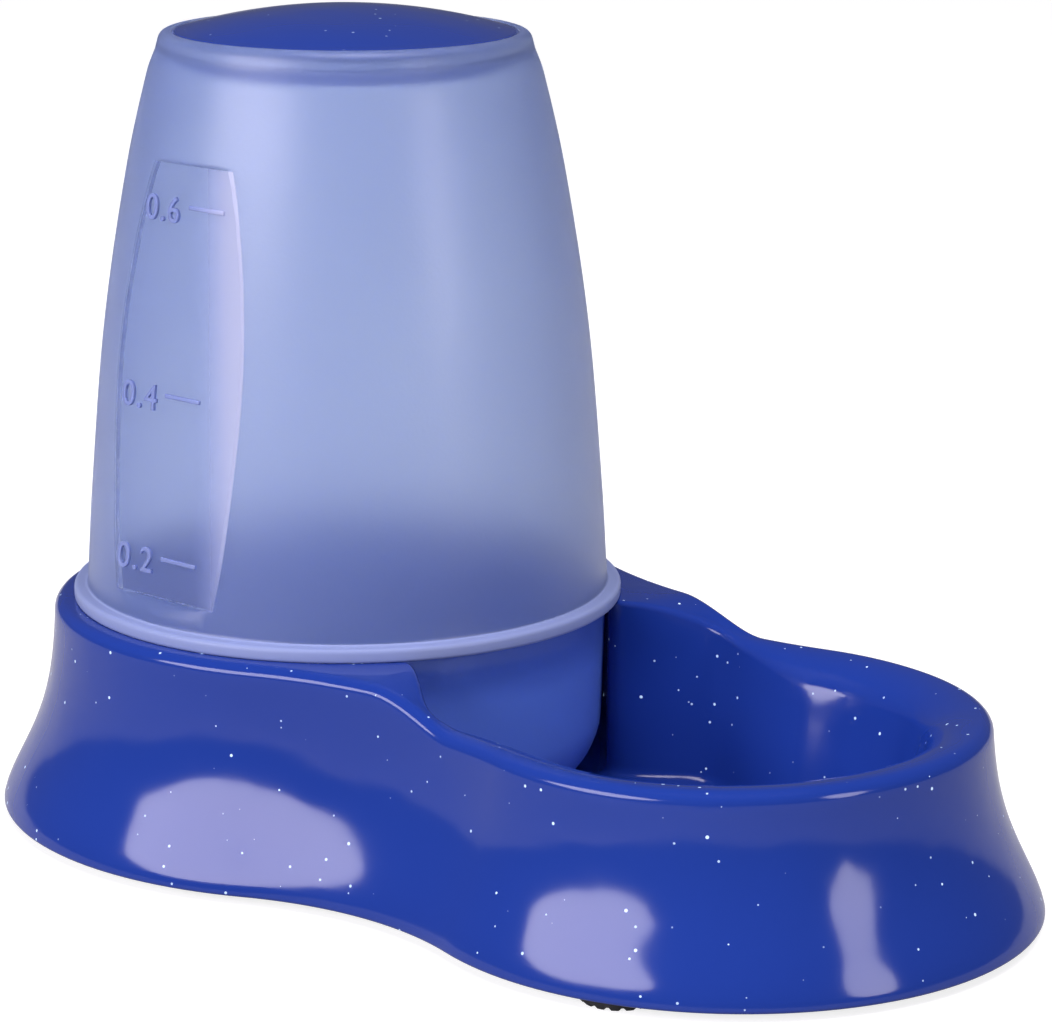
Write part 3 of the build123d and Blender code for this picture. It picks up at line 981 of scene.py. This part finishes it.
def glitter_plastic(name, deep, plain, sparkle, shift):
    """High-gloss coloured plastic with sparse bright flakes in it."""
    finish = Finish(name)
    place = finish.node("Mapping", Vector=finish.place(), Location=shift)
    distance = finish.node("TexVoronoi", "Distance", Vector=place, Scale=1 / FLAKE_SPACING)
    luck = finish.node("SeparateColor", "Red", Color=distance.also("Color"))
    size = luck * (1 - SMALLEST_FLAKE) + SMALLEST_FLAKE
    flake = distance < size * (FLAKE_R / FLAKE_SPACING)
    bright = flake * (luck * (1 - FAINTEST_FLAKE) + FAINTEST_FLAKE) * sparkle
    blue = finish.blend(finish.noise(place, BLUE_PATCH), deep, plain)
    finish.set(Base_Color=finish.blend(bright, blue, FLAKE_COLOUR))
    # The flakes' emission is a painted glint.
    finish.set(Emission_Color=finish.blend(bright, BLACK, FLAKE_PAINTED_GLINT), Emission_Strength=1.0)
    roughness = finish.noise(place, GLOSS_PATCH, detail=3.0) * GLOSS_CHANGE + GLOSS
    finish.set(Roughness=roughness, Specular_IOR_Level=0.4)
    small = finish.noise(place, SMALL_RIPPLE, detail=1.0) * SMALL_RIPPLE_SHARE
    finish.bump(finish.noise(place, RIPPLE, detail=1.0) + small, RIPPLE_DEPTH)
    return finish.material


base_plastic = glitter_plastic(
    "base_plastic", deep=(0.0095, 0.034, 0.245, 1), plain=(0.0120, 0.042, 0.285, 1),
    sparkle=0.8, shift=(0.0, 0.0, 0.0))
lid_plastic = glitter_plastic(
    "lid_plastic", deep=(0.0110, 0.038, 0.250, 1), plain=(0.0120, 0.041, 0.280, 1),
    sparkle=0.3, shift=(0.31, 0.17, 0.05))
for piece in [base] + seats:
    piece.data.materials.append(base_plastic)
lid.data.materials.append(lid_plastic)
print("blue plastic on", 2 + len(seats), "pieces")

# %% [markdown]
# ## Frosted see-through plastic
# The tank is a milky, light blue plastic: light comes through it, but its fine matt surface blurs what is
# behind. A Mix Shader joins two surfaces: a clear, rough one that lets light through, and a milky one that
# scatters it like paint. The mix changes with the place. The gauge panel is polished more than the rest,
# so one can look in, and a paler band down its right side is a painted reflection of a soft box. The
# thick flange is cloudiest. The skirt, which stands in the blue socket, gets a deeper blue, a painted cast
# of the socket's blue round it. Each region is found by a small sum on the Object coordinates, such as
# the distance to the panel's plane or the height over the flange. The raised marks get the same recipe with
# more milk in it, so that they stand out from the panel.

# %% The tank's colours, its cloudiness and its roughness in each region
CLEAR_TINT = (0.785, 0.85, 0.925, 1)
PANEL_TINT = (0.66, 0.74, 0.94, 1)
MILK = (0.26, 0.38, 0.87, 1)
FLANGE_MILK = (0.31, 0.38, 0.66, 1)
# The skirt's deeper blue milk is a painted cast of the blue socket round it.
SKIRT_PAINTED_CAST = (0.14, 0.28, 0.95, 1)
# The paler milk down the panel's right side is a painted reflection of a soft box.
PAINTED_REFLECTION_MILK = (0.52, 0.55, 0.78, 1)
MARK_MILK = (0.36, 0.45, 0.88, 1)
TANK_CLOUD, MARK_CLOUD, CLOUD_CHANGE = 0.18, 0.45, 0.08
# The skirt's cloud carries its painted blue cast, and the band's cloud the panel's painted reflection.
FLANGE_CLOUD, SKIRT_PAINTED_CAST_CLOUD, PAINTED_REFLECTION_CLOUD, PANEL_CLEARING = 0.55, 0.36, 0.45, 0.06
FROST, FROST_CHANGE, PANEL_POLISH, SKIRT_POLISH = 0.30, 0.06, 0.14, 0.18
PANEL_SKIN, FLANGE_MARGIN = 0.00025, 0.3
CLOUD_SIZE, GRAIN_SIZE, GRAIN_DEPTH = 0.038, 0.0007, 0.00002
# Where the painted reflection down the panel's right side starts, how wide it is and how it slants.
PAINTED_REFLECTION_START, PAINTED_REFLECTION_WIDTH, PAINTED_REFLECTION_SLANT = 0.0055, 0.016, 0.11
print(f"the tank's wall scatters {TANK_CLOUD:.0%} of the light, its flange {TANK_CLOUD + FLANGE_CLOUD:.0%}")


# %% The tank's plastic
def frosted_plastic(name, cloudiness, milk):
    """Clear plastic mixed with milky: cloudiest in the thick flange, a painted blue cast in the skirt, a
    painted reflection on the panel.
    """
    finish = Finish(name)
    place = finish.place()
    y = finish.node("SeparateXYZ", "Y", Vector=place)
    level = y.also("Z") - (flange_rest + PANEL_LOW[1] * MM)
    from_plane = y - (level * PANEL_LEAN - PANEL_LOW[0] * MM)
    in_height = (level > 0) * (level < (PANEL_HIGH[1] - PANEL_LOW[1]) * MM)
    panel = (from_plane < PANEL_SKIN) * in_height
    in_skirt = level < -PANEL_LOW[1] * MM
    in_flange = (level < (FLANGE_THICK + FLANGE_MARGIN - PANEL_LOW[1]) * MM) - in_skirt
    # A paler band down the panel's right side: a painted reflection of a soft box.
    start = level * -PAINTED_REFLECTION_SLANT + (axis_x + PAINTED_REFLECTION_START)
    smooth = {"interpolation_type": "SMOOTHERSTEP"}
    ramp = finish.node("MapRange", 0, smooth, Value=y.also("X"), slot1=start, slot2=start + PAINTED_REFLECTION_WIDTH)
    painted_reflection = ramp * panel
    cloud = finish.noise(place, CLOUD_SIZE)
    milky = (cloud * CLOUD_CHANGE + cloudiness) + in_flange * FLANGE_CLOUD + in_skirt * SKIRT_PAINTED_CAST_CLOUD
    milky = milky + painted_reflection * PAINTED_REFLECTION_CLOUD - panel * PANEL_CLEARING
    finish.set(Base_Color=finish.blend(panel, CLEAR_TINT, PANEL_TINT), Transmission_Weight=1.0, IOR=1.45)
    finish.set(Roughness=(cloud * FROST_CHANGE + FROST) - panel * PANEL_POLISH - in_skirt * SKIRT_POLISH)
    finish.bump(finish.noise(place, GRAIN_SIZE) * (1 - panel), GRAIN_DEPTH)
    # Milk colours: the band's is a painted reflection, the skirt's a painted blue cast of the socket.
    milk = finish.blend(painted_reflection, finish.blend(in_flange, milk, FLANGE_MILK), PAINTED_REFLECTION_MILK)
    milk = finish.blend(in_skirt, milk, SKIRT_PAINTED_CAST)
    scattering = finish.node("BsdfPrincipled", Base_Color=milk, Roughness=0.5, Specular_IOR_Level=0.3)
    clear = Wire(finish.tree, finish.shader.outputs[0])
    mixed = finish.node("MixShader", slot0=milky, slot1=clear, slot2=scattering)
    connect(finish.tree, finish.tree.nodes["Material Output"].inputs["Surface"], mixed)
    return finish.material


tank_plastic = frosted_plastic("tank_plastic", TANK_CLOUD, MILK)
mark_plastic = frosted_plastic("mark_plastic", MARK_CLOUD, MARK_MILK)
tank.data.materials.append(tank_plastic)
for mark in marks:
    mark.data.materials.append(mark_plastic)
print("frosted plastic on", 1 + len(marks), "pieces")

# %% [markdown]
# ## Silicone and rubber
# The seal is pale, satin silicone. The feet are black rubber: nearly matt, with a fine moulded grain.
# Both grains are noise in the bump, at the grain's real size.

# %% The soft materials
SOFT_PATCH, SOFT_CHANGE = 0.011, 0.1


def soft_material(name, dark, light, roughness, grain_size, relief):
    """Silicone or rubber: two close colours in soft patches, and a grain in the bump."""
    finish = Finish(name)
    place = finish.place()
    patch = finish.noise(place, SOFT_PATCH)
    finish.set(Base_Color=finish.blend(patch, dark, light), Roughness=patch * SOFT_CHANGE + roughness)
    finish.bump(finish.noise(place, grain_size, detail=4.0), relief)
    return finish.material


seal_rubber = soft_material(
    "seal_rubber", dark=(0.56, 0.60, 0.68, 1), light=(0.66, 0.70, 0.78, 1),
    roughness=0.38, grain_size=0.0006, relief=0.00002)
foot_rubber = soft_material(
    "foot_rubber", dark=(0.010, 0.010, 0.012, 1), light=(0.022, 0.022, 0.026, 1),
    roughness=0.60, grain_size=0.0004, relief=0.00006)
seal.data.materials.append(seal_rubber)
for foot in feet:
    foot.data.materials.append(foot_rubber)
print("soft materials on", 1 + len(feet), "pieces")

# %% [markdown]
# ## Floor and light
# The photograph has a plain white ground. The floor's own colour is pale, and what the camera, a
# reflection or a see-through wall sees of it gets a little light of its own, so it comes out white but
# keeps the feeder's shadow. The light is soft: a plain sky from everywhere, two soft boxes and a fill from
# above, which the gloss doesn't show. Where the boxes stand was found from their reflections in the
# photograph: a wide one far to the left, which gives the pale patches on the flared wall, and a smaller
# one on the right.

# %% Floor and sky
FLOOR_R = 6
FLOOR_COLOUR = (0.40, 0.40, 0.40, 1)
SELF_LIT, GLOSS_SHARE = 0.80, 0.25
SKY, SKY_IN_GLOSS = 0.30, 0.12
SKY_COLOUR = (0.97, 0.97, 1.0, 1)


def make_floor():
    """A wide disc under the feet, whose own light only the camera, gloss and clear walls see."""
    bm = bmesh.new()
    bmesh.ops.create_circle(bm, cap_ends=True, segments=64, radius=FLOOR_R)
    bmesh.ops.translate(bm, vec=(axis_x, 0, 0), verts=bm.verts)
    floor = smooth_object(bm, "floor")
    finish = Finish("floor_paint")
    camera_ray = finish.node("LightPath", "Is Camera Ray")
    seen = camera_ray.math("MAXIMUM", camera_ray.also("Is Glossy Ray") * GLOSS_SHARE)
    seen = seen.math("MAXIMUM", camera_ray.also("Is Transmission Ray"))
    finish.set(Base_Color=FLOOR_COLOUR, Roughness=0.9, Specular_IOR_Level=0.0)
    finish.set(Emission_Color=(1, 1, 1, 1), Emission_Strength=seen * SELF_LIT)
    floor.data.materials.append(finish.material)


def make_sky():
    """An even light from everywhere, which the gloss shows only faintly."""
    world = bpy.data.worlds.new("sky")
    world.use_nodes = True
    tree = world.node_tree
    gloss = new_node(tree, "LightPath", "Is Glossy Ray")
    background = tree.nodes["Background"]
    background.inputs["Color"].default_value = SKY_COLOUR
    connect(tree, background.inputs["Strength"], gloss * (SKY_IN_GLOSS - SKY) + SKY)
    bpy.context.scene.world = world


make_floor()
make_sky()
bpy.context.scene.view_settings.view_transform = "Standard"


# %% Soft boxes
LAMP_COLOUR = (0.98, 0.91, 1.0)


def soft_box(name, across, up, distance, width, height, power):
    """An oval lamp: across is its direction to the right of the camera, up its angle over the floor."""
    lamp = bpy.data.lights.new(name, "AREA")
    lamp.shape = "ELLIPSE"
    lamp.size = width
    lamp.size_y = height
    lamp.energy = power
    lamp.color = LAMP_COLOUR
    box = bpy.data.objects.new(name, lamp)
    bpy.context.scene.collection.objects.link(box)
    heading = CAMERA_SIDE + math.radians(across)
    level, rise = distance * math.cos(math.radians(up)), distance * math.sin(math.radians(up))
    place = Vector((level * math.sin(heading), -level * math.cos(heading), rise))
    box.matrix_world = Matrix.Translation(place) @ place.to_track_quat("Z", "Y").to_matrix().to_4x4()
    return box


soft_box("left soft box", across=-55, up=23.5, distance=1.3, width=1.19, height=0.49, power=13.2)
soft_box("right soft box", across=47, up=18, distance=1.3, width=0.36, height=0.56, power=3.5)
overhead = soft_box("overhead fill", across=15, up=74, distance=1.6, width=1.3, height=1.1, power=20.0)
overhead.visible_glossy = False
